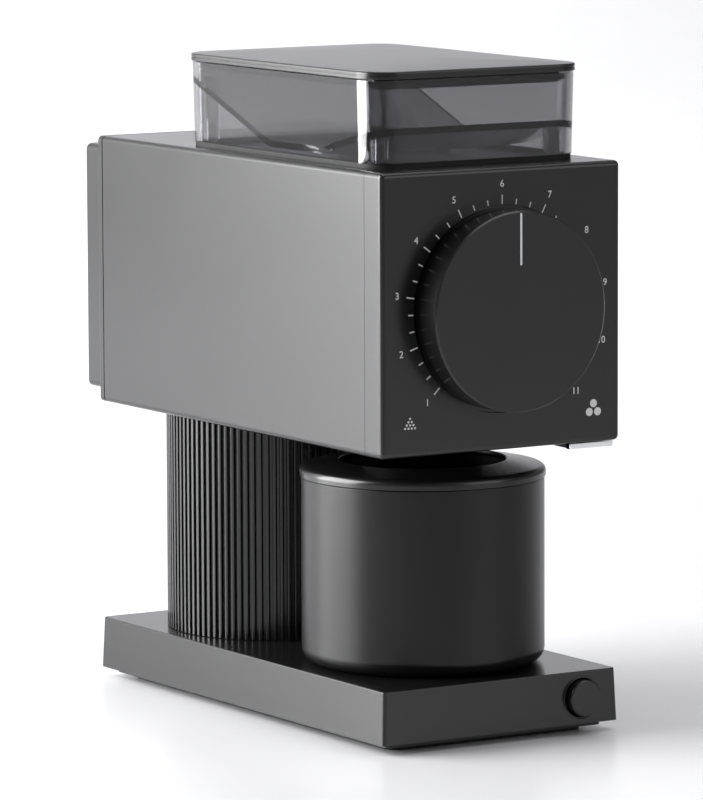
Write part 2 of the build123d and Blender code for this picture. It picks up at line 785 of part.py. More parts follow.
def rear_bearing():
    return tube_y(11.0, rear_shaft_radius + pin_fit, bell_front + 1.0, bell_back)


def motor_mount():
    side = inner_half - 0.3
    plate = block(-side, side, duct_back, mount_back, floor_z + 0.3, ceiling_z - 0.3)
    plate += rod_y(19.0, duct_back, duct_back + 11)
    plate -= rod_y(15.0 + 0.02, duct_back + 1, duct_back + 12)
    plate -= rod_y(shaft_radius + 1.0, duct_back - 1, duct_back + 2)
    for hole in around_axis(rod_y(2.2, duct_back - 1, mount_back + 1, 0, axis_z + 29), 3, 60):
        plate -= hole
    for x in (-30, 30):
        plate -= block(x - 8, x + 8, duct_back - 1, mount_back + 1, floor_z - 1, floor_z + 5)
    return plate


def motor_screws():
    screw = rod_y(3.4, duct_back - 2.5, duct_back, 0, axis_z + 29)
    screw += rod_y(2.0, duct_back - 0.5, mount_back + 2.4, 0, axis_z + 29)
    return Compound(children=around_axis(screw, 3, 60))


def motor_can():
    can = rod_y(motor_radius, mount_back, bell_front) - rod_y(motor_radius - 2.4, mount_back + 2.5, back)
    can -= rod_y(19.3, mount_back - 1, mount_back + 4)
    for hole in around_axis(rod_y(2.1, mount_back - 1, mount_back + 4, 0, axis_z + 29), 3, 60):
        can -= hole
    window = block(-7, 7, bell_front - 13, bell_front - 4, axis_z + 30, axis_z + 50)
    for cut in around_axis(window, 4, 45):
        can -= cut
    return can


def motor_magnets():
    outer = motor_radius - 2.5
    ring = tube_y(outer, outer - magnet_thickness, armature_front, armature_back)
    gap = block(-9, 9, armature_front - 1, armature_back + 1, axis_z - 60, axis_z + 60)
    return ring - gap


def armature():
    core = rod_y(armature_radius, armature_front + 2, armature_back - 2)
    slot = block(-1.1, 1.1, armature_front, armature_back, axis_z + 20, axis_z + 40)
    for cut in around_axis(slot, 12, 15):
        core -= cut
    for y0, y1 in ((armature_front - 4, armature_front + 2.5), (armature_back - 2.5, armature_back + 4)):
        turns = rod_y(27, y0, y1)
        turns = fillet(turns.edges(), 2.0)
        core += turns
    return core - rod_y(6.02, armature_front - 10, armature_back + 10)


def commutator():
    y0 = armature_back + 5
    ring = tube_y(13.0, 6.02, y0, bell_front - 1.5)
    for cut in around_axis(block(-0.3, 0.3, y0 - 1, bell_front, axis_z + 11.5, axis_z + 14), 24):
        ring -= cut
    return ring


def motor_brushes():
    y0 = bell_front - 8
    spans = ((-26, -13.3), (13.3, 26))
    return Compound(children=[block(x0, x1, y0, y0 + 5, axis_z - 3, axis_z + 3) for x0, x1 in spans])


def motor_end_bell():
    bell = rod_y(motor_radius, bell_front, bell_back)
    bell -= rod_y(11.02, bell_front + 1, bell_back + 1)
    bell -= rod_y(7.0, bell_front - 1, bell_front + 2)
    for side in (-1, 1):
        x0, x1 = sorted((side * 14.5, side * 30))
        bell += block(x0, x1, bell_front - 9.5, bell_front + 0.5, axis_z - 5, axis_z + 5)
        bell -= block(min(x0, x1) - 2, max(x0, x1) + 2, bell_front - 8.1, bell_front - 2.9,
                      axis_z - 3.1, axis_z + 3.1)
    for hole in around_axis(rod_y(4.5, bell_front - 1, bell_back + 1, 0, axis_z + 26), 6, 0):
        bell -= hole
    return bell


def cooling_fan():
    hub = tube_y(9.0, rear_shaft_radius + 0.02, fan_front, fan_back)
    disc = tube_y(fan_radius, 8.5, fan_back - 1.6, fan_back)
    fan = hub + disc
    blade = block(-0.8, 0.8, fan_front, fan_back - 1, axis_z + 8, axis_z + fan_radius)
    for piece in around_axis(blade, 11):
        fan += piece
    return fan


# ---------------------------------------------------------------- chute and knocker
def chute():
    low = ring_floor + 1.0
    high = housing_bottom + 5.9
    side = chute_half_width
    wall = chute_wall
    body = block(-side, side, chute_front, chute_back, low, high)
    body -= block(-side + wall, side - wall, chute_front + wall, chute_back - wall, low - 1, high + 1)
    lug = block(15.5, 24, front + 62, front + 72, floor_z + 0.2, arm_bottom - 0.1)
    return body + lug


def chute_ring():
    side = chute_half_width + running_gap
    ring = rod_z(chute_ring_radius, ring_floor, housing_bottom, 0, cup_y)
    ring = fillet(ring.faces().sort_by(Axis.Z)[0].edges(), 1.0)
    return ring - block(-side, side, chute_front - running_gap, chute_back + running_gap,
                        ring_floor - 1, housing_bottom + 1)


def knocker_lever():
    top = housing_bottom - running_gap
    nose = front + 1.6 + knocker_tab_thickness
    heel = front + 33.5
    low = top - knocker_tab_height + 0.2
    side = Plane.YZ * make_face(Polyline((nose, top), (nose, low), (heel, top - 1.2), (heel, top),
                                         close=True))
    grip = Pos(knocker_left, 0, 0) * extrude(side, amount=knocker_right - knocker_left)
    neck_left = knocker_left + 3
    neck_right = knocker_right - 3
    grip += block(neck_left, neck_right, front + 20, front + 30, top - 1, arm_top)
    grip += block(neck_left, neck_right, front + 20, pivot_y, arm_bottom, arm_top)
    grip += rod_x(4.0, neck_left - 1.0, neck_right, pivot_y, pivot_z)
    grip += block(18.5, neck_left + 1, pivot_y + 4.5, pivot_y + 8.5, arm_bottom + 0.2, arm_top - 0.2)
    grip += block(neck_left, neck_left + 6, pivot_y, pivot_y + 8.5, arm_bottom + 0.2, arm_top - 0.2)
    return grip - rod_x(1.5 + pin_fit, knocker_left - 5, knocker_right + 5, pivot_y, pivot_z)


def knocker_tab():
    top = housing_bottom - running_gap
    face = front + 1.6
    tab = block(knocker_left - 0.3, half_width - 1.3, face, face + knocker_tab_thickness,
                top - knocker_tab_height, top)
    tab = chamfer(tab.edges().filter_by(Axis.Z).group_by(Axis.Y)[0].sort_by(Axis.X)[-1], 1.2)
    return tab


def knocker_pin():
    return rod_x(1.48, knocker_left - 2.2, inner_half, pivot_y, pivot_z)


def knocker_spring():
    x0 = knocker_right - 2.8
    ring = rod_x(3.6, x0, x0 + 1.0, pivot_y, pivot_z) - rod_x(1.8, x0 - 1, x0 + 2, pivot_y, pivot_z)
    return ring


# ---------------------------------------------------------------- cup
def cup():
    z0 = cup_bottom
    z1 = cup_top
    body = rod_z(cup_radius, z0, z1, 0, cup_y)
    body = fillet(body.faces().sort_by(Axis.Z)[0].edges(), cup_corner_radius)
    hollow = rod_z(cup_radius - cup_wall, z0 + cup_floor, z1 + 5, 0, cup_y)
    hollow = fillet(hollow.faces().sort_by(Axis.Z)[0].edges(), cup_corner_radius - cup_wall)
    body -= hollow
    for x, y in magnet_places():
        body -= rod_z(5.1, z0 - 1, z0 + 2.4, x, y)
    return body


def cup_lid():
    rim = cup_radius + cup_lid_overhang
    mouth = cup_radius - cup_lid_mouth_step
    top = cup_top + cup_lid_height
    fall = math.tan(math.radians(cup_lid_slope))
    skirt_outer = cup_radius - cup_wall - 0.25
    skirt_inner = skirt_outer - 2.0
    under = top - cup_lid_wall
    outline = Polyline(
        (rim, cup_top), (rim, top - (rim - mouth) * fall), (mouth, top), (mouth, under),
        (skirt_inner, under - (skirt_inner - mouth) * fall), (skirt_inner, cup_top - 3),
        (skirt_outer, cup_top - 3), (skirt_outer, cup_top), close=True)
    lid = revolve(Plane.XZ * make_face(outline), Axis.Z)
    shoulder = [e for e in lid.edges().filter_by(GeomType.CIRCLE) if abs(e.radius - rim) < 0.01]
    lid = fillet(sorted(shoulder, key=lambda e: e.center().Z)[-1], cup_lid_shoulder_radius)
    return Pos(0, cup_y, 0) * lid


def cup_magnets():
    z0 = cup_bottom
    return Compound(children=[rod_z(5.0, z0 + 0.3, z0 + 2.4, x, y) for x, y in magnet_places()])


# ---------------------------------------------------------------- write every piece
pieces = {
    "base_cover": base_cover, "base_plate": base_plate, "rubber_foot": rubber_foot,
    "base_screws": base_screws, "base_magnets": base_magnets, "power_button": power_button,
    "button_bezel": button_bezel, "button_spring": button_spring, "power_switch": power_switch,
    "cord_gland": cord_gland, "column_shell": column_shell, "column_top_plate": column_top_plate,
    "tie_rods": tie_rods, "circuit_board": circuit_board, "board_components": board_components,
    "housing_sleeve": housing_sleeve, "front_cover": front_cover, "rear_cover": rear_cover,
    "vent_cap": vent_cap, "housing_screws": housing_screws, "hopper": hopper,
    "hopper_gasket": hopper_gasket, "hopper_screws": hopper_screws, "hopper_lid": hopper_lid,
    "lid_seal": lid_seal, "dial_knob": dial_knob, "dial_pointer": dial_pointer,
    "adjusting_ring": adjusting_ring, "detent_plunger": detent_plunger,
    "detent_spring": detent_spring, "outer_burr_carrier": outer_burr_carrier,
    "outer_burr": outer_burr, "outer_burr_screws": outer_burr_screws, "inner_burr": inner_burr,
    "inner_burr_screws": inner_burr_screws, "inner_burr_carrier": inner_burr_carrier,
    "burr_chamber": burr_chamber, "auger": auger, "drive_shaft": drive_shaft,
    "shaft_bolt": shaft_bolt, "front_bearing": front_bearing, "rear_bearing": rear_bearing,
    "motor_mount": motor_mount, "motor_screws": motor_screws, "motor_can": motor_can,
    "motor_magnets": motor_magnets, "armature": armature, "commutator": commutator,
    "motor_brushes": motor_brushes, "motor_end_bell": motor_end_bell, "cooling_fan": cooling_fan,
    "chute": chute, "chute_ring": chute_ring, "knocker_lever": knocker_lever,
    "knocker_tab": knocker_tab, "knocker_pin": knocker_pin, "knocker_spring": knocker_spring,
    "cup": cup, "cup_lid": cup_lid, "cup_magnets": cup_magnets,
}

os.makedirs("parts", exist_ok=True)
for name, make in pieces.items():
    export_step(make(), "parts/" + name + ".step")
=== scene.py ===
import math

import bmesh
import bpy
from mathutils import Matrix, Vector


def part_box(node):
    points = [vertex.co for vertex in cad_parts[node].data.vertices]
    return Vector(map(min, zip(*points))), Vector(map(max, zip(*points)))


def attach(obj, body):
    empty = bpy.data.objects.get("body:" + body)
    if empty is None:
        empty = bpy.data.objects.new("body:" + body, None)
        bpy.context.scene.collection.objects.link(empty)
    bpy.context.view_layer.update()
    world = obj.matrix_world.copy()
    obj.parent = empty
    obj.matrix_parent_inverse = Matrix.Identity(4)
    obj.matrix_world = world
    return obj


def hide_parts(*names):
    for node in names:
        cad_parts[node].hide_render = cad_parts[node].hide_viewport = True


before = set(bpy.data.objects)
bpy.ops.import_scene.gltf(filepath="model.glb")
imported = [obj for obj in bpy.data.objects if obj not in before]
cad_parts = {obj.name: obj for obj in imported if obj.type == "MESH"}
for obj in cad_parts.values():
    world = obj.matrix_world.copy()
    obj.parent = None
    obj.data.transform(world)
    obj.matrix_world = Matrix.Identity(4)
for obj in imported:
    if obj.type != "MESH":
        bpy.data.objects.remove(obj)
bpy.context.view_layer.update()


# ------------------------------------------------------------------ camera
# A long lens from the front left, a little above the hopper, so that the front face and the
# left side both show and the upright edges stay nearly parallel.
camera_place = (-1.2131, -1.9657, 0.4082)
camera_yaw = math.radians(31.68)
camera_dip = math.radians(7.14)
camera_roll = math.radians(0.23)

camera = bpy.data.objects.new("camera", bpy.data.cameras.new("camera"))
camera.data.lens = 270.0
camera.data.sensor_width = 36.0
camera.data.clip_end = 20.0
aim = Matrix.Rotation(-camera_yaw, 4, "Z") @ Matrix.Rotation(math.pi / 2 - camera_dip, 4, "X")
camera.matrix_world = Matrix.Translation(camera_place) @ aim @ Matrix.Rotation(-camera_roll, 4, "Z")
bpy.context.scene.collection.objects.link(camera)
bpy.context.scene.camera = camera
bpy.context.scene.view_settings.view_transform = "Standard"


# ------------------------------------------------------------------ table top and backdrop
# A honed white stone top that curves up into a pale backdrop. It is a stage, not part of the
# grinder. Honing leaves a soft sheen, so the grinder shows in it faintly.
mm = 0.001


def linear(code):
    """A hex sRGB colour as linear red, green, blue and alpha."""
    channels = [int(code[i:i + 2], 16) / 255 for i in (1, 3, 5)]
    bent = [c / 12.92 if c <= 0.04045 else ((c + 0.055) / 1.055) ** 2.4 for c in channels]
    return (*bent, 1.0)


def add_node(tree, kind, settings=None, links=None):
    """Adds a node, sets its sockets and properties, and links its inputs."""
    node = tree.nodes.new(kind)
    for key, value in (settings or {}).items():
        if isinstance(key, int) or key in node.inputs:
            node.inputs[key].default_value = value
        else:
            setattr(node, key, value)
    for key, source in (links or {}).items():
        tree.links.new(source, node.inputs[key])
    return node


def finish_of(name, tones, patch_mm, grain_mm, grain_depth_mm, sockets, rough_swing=0.03):
    """A material that drifts between two close tones, over a fine grain of real size."""
    material = bpy.data.materials.new(name)
    material.use_nodes = True
    tree = material.node_tree
    tree.nodes.clear()
    place = add_node(tree, "ShaderNodeTexCoord").outputs["Object"]
    patches = add_node(tree, "ShaderNodeTexNoise", {"Scale": 1 / (patch_mm * mm), "Detail": 3.0},
                       {"Vector": place})
    colour = add_node(tree, "ShaderNodeMix", {"data_type": "RGBA", 6: linear(tones[0]),
                                              7: linear(tones[1])}, {0: patches.outputs["Fac"]})
    rough = sockets["Roughness"]
    sheen = add_node(tree, "ShaderNodeMapRange", {"To Min": rough - rough_swing,
                                                  "To Max": rough + rough_swing},
                     {"Value": patches.outputs["Fac"]})
    grain = add_node(tree, "ShaderNodeTexNoise", {"Scale": 1 / (grain_mm * mm), "Detail": 2.0},
                     {"Vector": place})
    bump = add_node(tree, "ShaderNodeBump", {"Distance": grain_depth_mm * mm},
                    {"Height": grain.outputs["Fac"]})
    rest = {key: value for key, value in sockets.items() if key != "Roughness"}
    shader = add_node(tree, "ShaderNodeBsdfPrincipled", rest,
                      {"Base Color": colour.outputs[2], "Roughness": sheen.outputs["Result"],
                       "Normal": bump.outputs["Normal"]})
    add_node(tree, "ShaderNodeOutputMaterial", None, {"Surface": shader.outputs[0]})
    return material


def mesh_piece(name, points, faces, material):
    mesh = bpy.data.meshes.new(name)
    mesh.from_pydata([tuple(point) for point in points], [], faces)
    mesh.materials.append(material)
    piece = bpy.data.objects.new(name, mesh)
    bpy.context.scene.collection.objects.link(piece)
    return piece


white_stone = finish_of("honed_white_stone", ("#d6d6d8", "#dedee0"), 70.0, 3.0, 0.003,
                        {"Roughness": 0.3, "IOR": 1.4})

stage_front = -6.0
stage_half_width = 8.0
stage_top = 5.0
back_start = 2.2
back_radius = 1.2
back_steps = 16
curve = [(stage_front, 0.0), (back_start, 0.0)]
for step in range(1, back_steps + 1):
    angle = math.pi / 2 * step / back_steps
    curve.append((back_start + back_radius * math.sin(angle), back_radius * (1 - math.cos(angle))))
curve.append((back_start + back_radius, stage_top))
stage_points = [(x, y, z) for y, z in curve for x in (-stage_half_width, stage_half_width)]
stage_faces = [(2 * i, 2 * i + 1, 2 * i + 3, 2 * i + 2) for i in range(len(curve) - 1)]
table_top = mesh_piece("table_top", stage_points, stage_faces, white_stone)
table_top.data.shade_smooth()


# ------------------------------------------------------------------ studio light
# A large soft light on the left and a weak one behind it, a low fill on the right, one overhead
# and one on the backdrop, all in a dim pale surround. Sizes in metres, power in watts.
def soft_light(name, place, target, width, height, power):
    lamp = bpy.data.objects.new(name, bpy.data.lights.new(name, "AREA"))
    lamp.data.shape = "RECTANGLE"
    lamp.data.size = width
    lamp.data.size_y = height
    lamp.data.energy = power
    lamp.location = place
    lamp.rotation_euler = (Vector(target) - Vector(place)).to_track_quat("-Z", "Y").to_euler()
    bpy.context.scene.collection.objects.link(lamp)


soft_light("left_light", (-1.26, 0.74, 0.66), (0.0, 0.0, 0.3), 1.4, 1.3, 78.0)
soft_light("left_rear_light", (-0.76, 1.58, 0.66), (0.0, 0.3, 0.3), 0.6, 1.3, 2.4)
soft_light("right_light", (1.0, -1.9, 0.85), (0.0, 0.0, 0.1), 1.5, 1.3, 8.5)
soft_light("top_light", (0.3, 0.0, 2.6), (0.0, 0.0, 0.0), 2.4, 2.4, 34.0)
soft_light("backdrop_light", (0.7, 1.1, 2.0), (1.3, 3.3, 0.6), 2.4, 0.8, 85.0)

surround = bpy.data.worlds.new("surround")
surround.use_nodes = True
surround.node_tree.nodes["Background"].inputs["Color"].default_value = linear("#f2f2f4")
surround.node_tree.nodes["Background"].inputs["Strength"].default_value = 0.26
bpy.context.scene.world = surround


# ------------------------------------------------------------------ rubber foot
# One moulded silicone rubber ring, glued into the underside of the base plate. Its matt skin
# shows almost no highlight.
def box_of(node):
    """A node's lowest and highest corner, and its middle."""
    low, high = (Vector(corner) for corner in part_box(node))
    return low, high, (low + high) / 2


def softened(corners, steps=5):
    """A closed outline from (x, y, radius) corners, with each corner rounded."""
    outline = []
    for i, (x, y, radius) in enumerate(corners):
        here = Vector((x, y))
        if radius == 0:
            outline.append(here)
            continue
        before = (Vector(corners[i - 1][:2]) - here).normalized()
        after = (Vector(corners[(i + 1) % len(corners)][:2]) - here).normalized()
        half = before.angle(after) / 2
        middle = here + (before + after).normalized() * (radius / math.sin(half))
        start = here + before * (radius / math.tan(half)) - middle
        end = here + after * (radius / math.tan(half)) - middle
        for step in range(steps + 1):
            outline.append(middle + start.lerp(end, step / steps).normalized() * radius)
    return outline


def skinned(name, rings, material, node, slot, body, closed=True):
    """Skins rings of points into one closed piece that stands for a node and rides on a body."""
    count = len(rings[0])
    faces = []
    for i in range(len(rings) if closed else len(rings) - 1):
        here = i * count
        there = (i + 1) % len(rings) * count
        for k in range(count):
            after = (k + 1) % count
            faces.append((here + k, here + after, there + after, there + k))
    if not closed:
        faces.append(list(range(count)))
        faces.append(list(range((len(rings) - 1) * count, len(rings) * count)))
    piece = mesh_piece(name, [point for ring in rings for point in ring], faces, material)
    shape = bmesh.new()
    shape.from_mesh(piece.data)
    bmesh.ops.remove_doubles(shape, verts=shape.verts, dist=0.001 * mm)
    bmesh.ops.recalc_face_normals(shape, faces=shape.faces)
    shape.to_mesh(piece.data)
    shape.free()
    piece.data.shade_smooth()
    piece.data.set_sharp_from_angle(angle=math.radians(32))
    piece.modifiers.new("even_faces", "WEIGHTED_NORMAL").keep_sharp = True
    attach(piece, body)
    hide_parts(node)


def rounded_frame(half_x, half_y, corner, inset, steps=8):
    """A rounded rectangle about the origin, moved in by inset."""
    radius = max(corner - inset, 0.05 * mm)
    x = half_x - inset - radius
    y = half_y - inset - radius
    outline = []
    for quarter, (cx, cy) in enumerate(((x, y), (-x, y), (-x, -y), (x, -y))):
        for step in range(steps + 1):
            angle = math.pi / 2 * (quarter + step / steps)
            outline.append((cx + radius * math.cos(angle), cy + radius * math.sin(angle)))
    return outline


def framed(name, profile, node_middle, half_x, half_y, corner, *rest, closed=True):
    """A profile of (inset, height) carried round a rounded rectangle."""
    rings = []
    for inset, height in profile:
        outline = rounded_frame(half_x, half_y, corner, inset)
        rings.append([(node_middle.x + x, node_middle.y + y, height) for x, y in outline])
    skinned(name, rings, *rest, closed=closed)


silicone = finish_of("moulded_silicone_rubber", ("#0a0a0b", "#0e0e0f"), 8.0, 0.3, 0.01,
                     {"Roughness": 0.62, "IOR": 1.43})

low, high, middle = box_of("rubber_foot")
foot_width = 10 * mm
foot_profile = softened([
    (0, high.z, 0), (0, low.z, 0.6 * mm), (0.38 * foot_width, low.z, 0),
    (0.42 * foot_width, low.z + 0.5 * mm, 0), (0.58 * foot_width, low.z + 0.5 * mm, 0),
    (0.62 * foot_width, low.z, 0), (foot_width, low.z, 0.6 * mm), (foot_width, high.z, 0)])
framed("foot_ring", foot_profile, middle, middle.x - low.x, middle.y - low.y, 6 * mm,
       silicone, "rubber_foot", "rubber", "root")


# ------------------------------------------------------------------ base plate and its screws
# A black nylon plate closes the underside. Spark-eroded moulding leaves it evenly matt, and
# zinc-plated steel screws and the column's three tie rods hold it.
nylon = finish_of("moulded_black_nylon", ("#101011", "#151516"), 12.0, 0.35, 0.006,
                  {"Roughness": 0.5, "IOR": 1.53})
zinc_steel = finish_of("zinc_plated_steel", ("#b3b6b9", "#c3c5c7"), 4.0, 0.25, 0.004,
                       {"Roughness": 0.3, "Metallic": 1.0}, rough_swing=0.08)


def coat(material, *nodes):
    """Gives CAD nodes their finish."""
    for node in nodes:
        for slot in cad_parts[node].material_slots:
            slot.material = material


coat(nylon, "base_plate", "column_top_plate", "power_switch")
coat(zinc_steel, "base_screws", "tie_rods")


# ------------------------------------------------------------------ base cover
# The base is die-cast aluminium under a satin black powder coat. Baked powder flows into a
# very slight ripple, which softens every reflection without blurring it away. The magnets
# under the cup are ferrite, with the dull grey grain that sintering leaves.
powder_coat = finish_of("satin_black_powder_coat", ("#0e0e0f", "#121213"), 30.0, 0.5, 0.0010,
                        {"Roughness": 0.23, "IOR": 1.52}, rough_swing=0.015)
coat(powder_coat, "base_cover")

ferrite = finish_of("sintered_ferrite", ("#3a3b3e", "#47484b"), 3.0, 0.2, 0.01,
                    {"Roughness": 0.45, "Metallic": 0.4})
coat(ferrite, "base_magnets", "cup_magnets", "motor_magnets")


# ------------------------------------------------------------------ power button and bezel
# A round moulded ABS cap in a thin ABS ring. The cap's face is dished by a few tenths, and
# its fine moulded texture matches the powder coat round it.
def turned(name, profile, node_middle, axis, *rest, segments=160):
    """A profile of (radius, distance along the axis) turned about Y or Z."""
    rings = []
    for radius, along in profile:
        ring = []
        for k in range(segments):
            across = radius * math.cos(math.tau * k / segments)
            up = radius * math.sin(math.tau * k / segments)
            if axis == "Z":
                ring.append((node_middle.x + across, node_middle.y + up, along))
            else:
                ring.append((node_middle.x + across, along, node_middle.z + up))
        rings.append(ring)
    skinned(name, rings, *rest)


abs_plastic = finish_of("moulded_black_abs", ("#0e0e0f", "#121213"), 15.0, 0.3, 0.002,
                        {"Roughness": 0.25, "IOR": 1.52}, rough_swing=0.02)

low, high, middle = box_of("power_button")
cap_radius = (high.x - low.x) / 2
shoulder = low.y + 7 * mm
stem_radius = 2.5 * mm
button_profile = softened([
    (0, low.y + 0.3 * mm, 0), (0.8 * cap_radius, low.y, 0), (cap_radius, low.y, 0.6 * mm),
    (cap_radius, shoulder, 0.3 * mm), (stem_radius, shoulder, 0), (stem_radius, high.y, 0.3 * mm),
    (0, high.y, 0)])
turned("button_cap", button_profile, middle, "Y", abs_plastic, "power_button", "dark_plastic",
       "button", segments=96)

low, high, middle = box_of("button_bezel")
bezel_outer = (high.x - low.x) / 2
bezel_inner = cap_radius + 0.4 * mm
bezel_profile = softened([
    (bezel_inner, low.y, 0.25 * mm), (bezel_outer, low.y, 0.25 * mm),
    (bezel_outer, high.y, 0), (bezel_inner, high.y, 0)])
turned("button_ring", bezel_profile, middle, "Y", abs_plastic, "button_bezel", "dark_plastic",
       "root", segments=96)


# ------------------------------------------------------------------ cord inlet
# A rubber bush snapped into the back of the base, with three shallow grooves in its collar.
low, high, middle = box_of("cord_gland")
collar = (high.x - low.x) / 2
collar_front = high.y - 2 * mm
bore = 3.6 * mm
gland_profile = softened([
    (bore, low.y, 0), (0.75 * collar, low.y, 0.3 * mm), (0.75 * collar, collar_front, 0),
    (collar, collar_front, 0), (collar, high.y, 0.7 * mm), (0.82 * collar, high.y, 0),
    (0.79 * collar, high.y - 0.5 * mm, 0), (0.76 * collar, high.y, 0), (0.66 * collar, high.y, 0),
    (0.63 * collar, high.y - 0.5 * mm, 0), (0.6 * collar, high.y, 0), (bore, high.y, 0.5 * mm)])
turned("cord_bush", gland_profile, middle, "Y", silicone, "cord_gland", "rubber", "root",
       segments=96)


# ------------------------------------------------------------------ ribbed column
# An extruded aluminium tube with a hundred upright ribs, powder coated like the base. The
# die leaves each rib with a small round on its two edges.
low, high, middle = box_of("column_shell")
rib_count = 100
rib_radius = (high.x - low.x) / 2
rib_depth = 1.5 * mm
tube_inner = rib_radius - 3.7 * mm
end_chamfer = 0.3 * mm
rib_pitch = math.tau / rib_count
groove_half = 0.72 * mm / rib_radius
crest_round = 0.22 * mm / rib_radius
rib_shape = [
    (0.0, rib_depth), (groove_half - crest_round, rib_depth), (groove_half, rib_depth - 0.2 * mm),
    (groove_half, 0.25 * mm), (groove_half + 0.3 * crest_round, 0.08 * mm),
    (groove_half + crest_round, 0.0), (rib_pitch / 2, 0.0),
    (rib_pitch - groove_half - crest_round, 0.0),
    (rib_pitch - groove_half - 0.3 * crest_round, 0.08 * mm),
    (rib_pitch - groove_half, 0.25 * mm), (rib_pitch - groove_half, rib_depth - 0.2 * mm),
    (rib_pitch - groove_half + crest_round, rib_depth)]
column_rings = []
for bite, height in ((end_chamfer, low.z), (0, low.z + end_chamfer), (0, high.z - end_chamfer),
                     (end_chamfer, high.z), (None, high.z), (None, low.z)):
    ring = []
    for rib in range(rib_count):
        for turn, depth in rib_shape:
            radius = tube_inner if bite is None else rib_radius - max(depth, bite)
            angle = rib * rib_pitch + turn
            ring.append((middle.x + radius * math.cos(angle), middle.y + radius * math.sin(angle), height))
    column_rings.append(ring)
skinned("ribbed_tube", column_rings, powder_coat, "column_shell", "black_coated_shell", "root")


# ------------------------------------------------------------------ motor controller
# A glass-epoxy board stands in the column with its capacitors, choke and finned heat sink.
# Its green mask is lighter over the copper tracks, which run about 0.5 mm wide and 6 mm apart.
board = finish_of("green_masked_circuit_board", ("#0f4a28", "#155a32"), 6.0, 0.8, 0.02,
                  {"Roughness": 0.32, "IOR": 1.55})
tree = board.node_tree
place = add_node(tree, "ShaderNodeTexCoord").outputs["Object"]
tracks = add_node(tree, "ShaderNodeTexBrick", {"Scale": 1 / (6 * mm), "Mortar Size": 0.08,
                                               "Color1": linear("#0f4a28"),
                                               "Color2": linear("#13522d"),
                                               "Mortar": linear("#2c8a4c")}, {"Vector": place})
tree.links.new(tracks.outputs["Color"], tree.nodes["Principled BSDF"].inputs["Base Color"])
coat(board, "circuit_board")
sleeved = finish_of("sleeved_electronic_parts", ("#1b1e26", "#2a2f3a"), 5.0, 0.5, 0.01,
                    {"Roughness": 0.35, "IOR": 1.5}, rough_swing=0.1)
coat(sleeved, "board_components")


# ------------------------------------------------------------------ housing
# Four powder-coated pieces: a sleeve, a front cover, a rear cover and a slotted vent cap.
# Hairline seams show where they meet, and zinc-plated screws close the back.
coat(powder_coat, "housing_sleeve", "front_cover", "rear_cover", "vent_cap")
coat(zinc_steel, "housing_screws")


# ------------------------------------------------------------------ scale round the dial
# Pad-printed light grey epoxy ink: eleven numbers, their ticks, and dots for fine and coarse.
# Each mark stands a few hundredths of a millimetre proud of the coat.
ink = finish_of("pad_printed_grey_ink", ("#cfcfcd", "#d8d8d6"), 2.0, 0.1, 0.003,
                {"Roughness": 0.5, "IOR": 1.5})
face_y = box_of("front_cover")[0].y
dial_middle = box_of("dial_knob")[2]
ink_back = face_y + 0.01 * mm
ink_front = face_y - 0.03 * mm
number_count = 11
middle_number = 6
number_step = math.radians(27)
number_radius = 46.7 * mm
number_size = 3.7 * mm
marks_per_number = 3
mark_start = 39.2 * mm
number_mark_end = 42.6 * mm
minor_mark_end = 41.3 * mm
mark_half_width = 0.24 * mm
# The fine sign is a pyramid of small dots and the coarse sign is three large ones, in mm from
# the dial's axis.
fine_top = (-40.65, -38.4)
fine_rows = 4
fine_pitch = (1.45, 1.2)
fine_dot = 0.42
coarse_dots = ((40.96, -38.2), (39.06, -41.4), (42.8, -41.4))
coarse_dot = 1.55

ink_points = []
ink_faces = []


def print_shape(outline):
    """One raised mark on the front face from an outline of (across, up) about the dial axis."""
    start = len(ink_points)
    count = len(outline)
    for depth in (ink_front, ink_back):
        ink_points.extend((dial_middle.x + x, depth, dial_middle.z + z) for x, z in outline)
    ink_faces.append([start + k for k in range(count)])
    ink_faces.append([start + count + k for k in reversed(range(count))])
    for k in range(count):
        after = (k + 1) % count
        ink_faces.append((start + k, start + count + k, start + count + after, start + after))


def print_tick(angle, inner, outer, half_width):
    out = Vector((math.sin(angle), math.cos(angle)))
    side = Vector((out.y, -out.x)) * half_width
    print_shape([out * inner - side, out * inner + side, out * outer + side, out * outer - side])


def print_dot(x, z, radius):
    turns = [math.tau * k / 24 for k in range(24)]
    print_shape([(x + radius * math.cos(t), z + radius * math.sin(t)) for t in turns])


for mark in range((number_count - 1) * marks_per_number + 1):
    mark_angle = (mark / marks_per_number - middle_number + 1) * number_step
    mark_end = number_mark_end if mark % marks_per_number == 0 else minor_mark_end
    print_tick(mark_angle, mark_start, mark_end, mark_half_width)
for row in range(fine_rows):
    for k in range(row + 1):
        dot_x = fine_top[0] + (k - row / 2) * fine_pitch[0]
        dot_z = fine_top[1] - row * fine_pitch[1]
        print_dot(dot_x * mm, dot_z * mm, fine_dot * mm)
for dot_x, dot_z in coarse_dots:
    print_dot(dot_x * mm, dot_z * mm, coarse_dot * mm)

